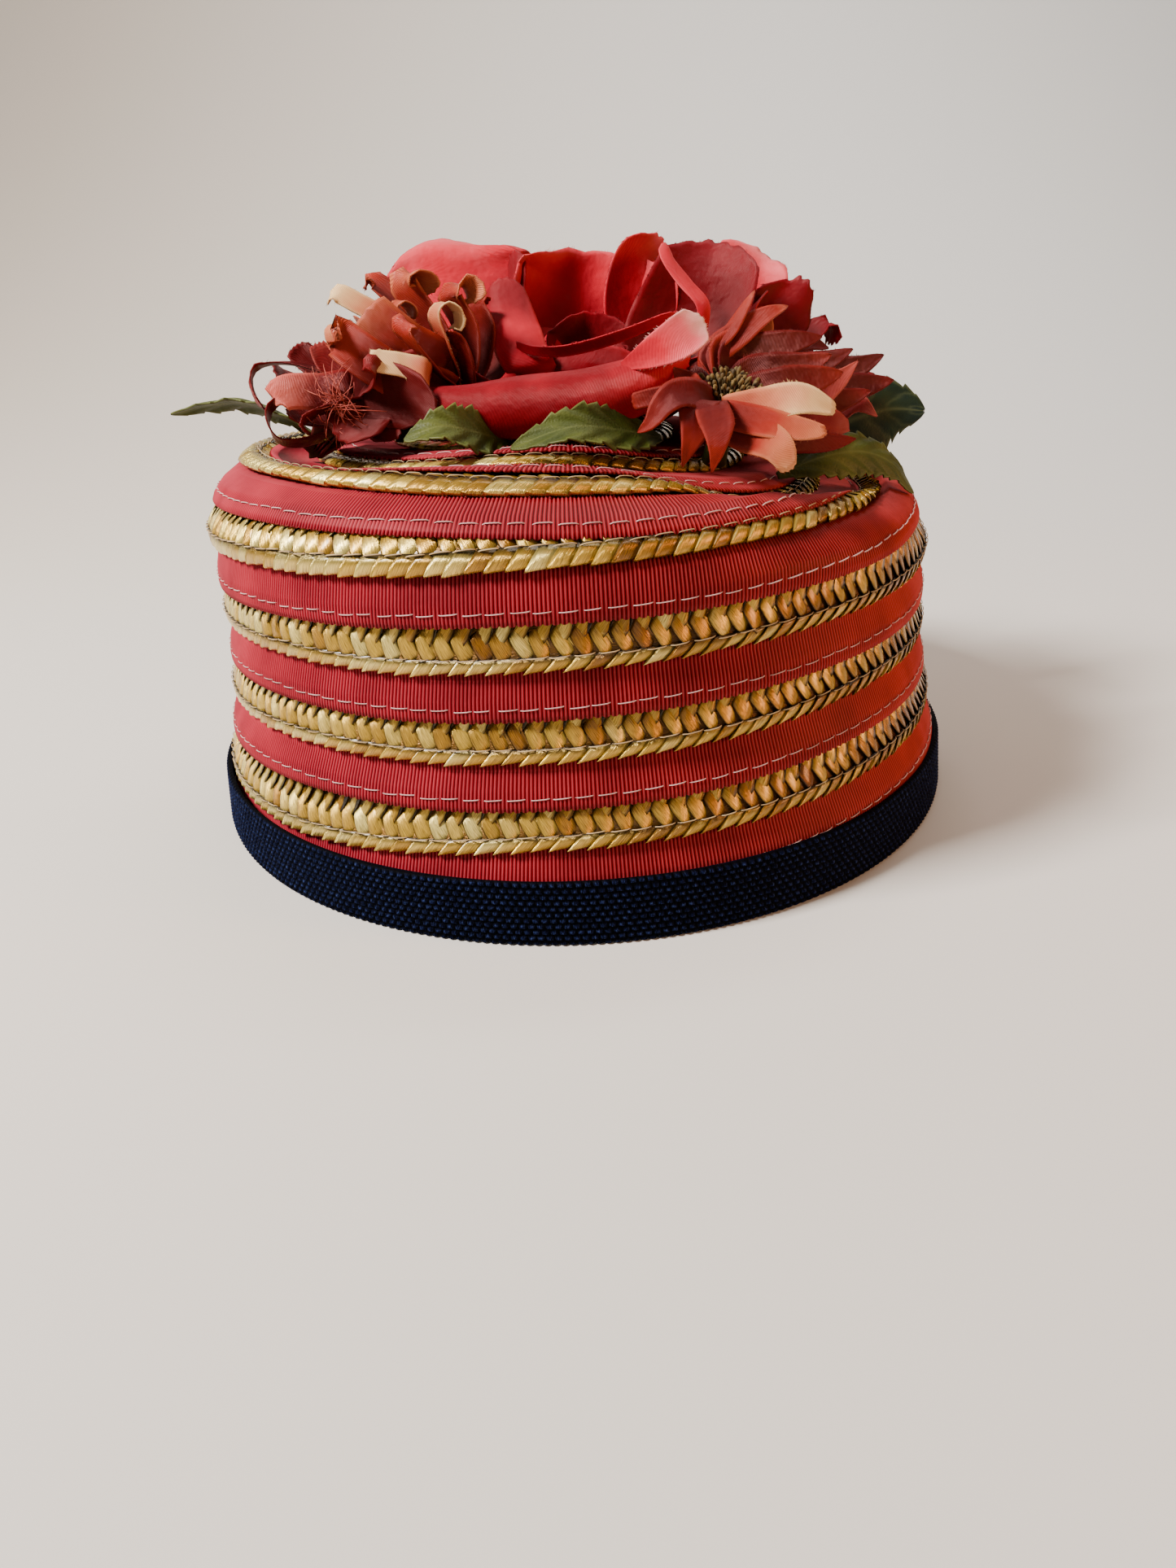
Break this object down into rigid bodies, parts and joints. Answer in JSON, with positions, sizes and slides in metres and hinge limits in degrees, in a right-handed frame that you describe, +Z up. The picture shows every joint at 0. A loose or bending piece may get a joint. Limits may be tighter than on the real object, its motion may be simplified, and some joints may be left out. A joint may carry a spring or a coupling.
{
  "type": "pillbox hat",
  "caption": "Oval pillbox hat wound as one spiral of grosgrain ribbon and plaited straw, with a folded head band and a posy of silk flowers and leaves on the tip",
  "frame": {"origin": "on the surface that the hat rests on, under the middle of its head band", "axes": "+Z up through the tip, -Y the front of the hat as pictured, +X the wearer's left, on the right of the picture"},
  "size_m": [0.18, 0.191, 0.1254],
  "materials": {
    "navy_braid": "dense matt navy woven braid with a little fluff",
    "red_grosgrain": "ribbed silky grosgrain with white machine stitches",
    "gold_straw": "glossy gold plaited straw",
    "rose_silk": "satin with fine cross ribs and frayed pale edges",
    "coral_silk": "satin in salmon and cream, frayed",
    "dark_silk": "dark red satin, frayed",
    "eye_olive": "matt olive-brown stamens",
    "leaf_green": "stiffened cotton leaf with pressed veins"
  },
  "bodies": {
    "root": {"head_band": "navy_braid", "ribbon_coil": "red_grosgrain", "braid_coil": "gold_straw", "rose": "rose_silk", "carnation": "coral_silk", "pink": "dark_silk", "daisy": "coral_silk", "aster": "dark_silk", "daisy_eye": "eye_olive", "leaf_1": "leaf_green", "leaf_2": "leaf_green", "leaf_3": "leaf_green", "leaf_4": "leaf_green", "leaf_5": "leaf_green", "leaf_6": "leaf_green", "leaf_7": "leaf_green"}
  },
  "joints": []
}
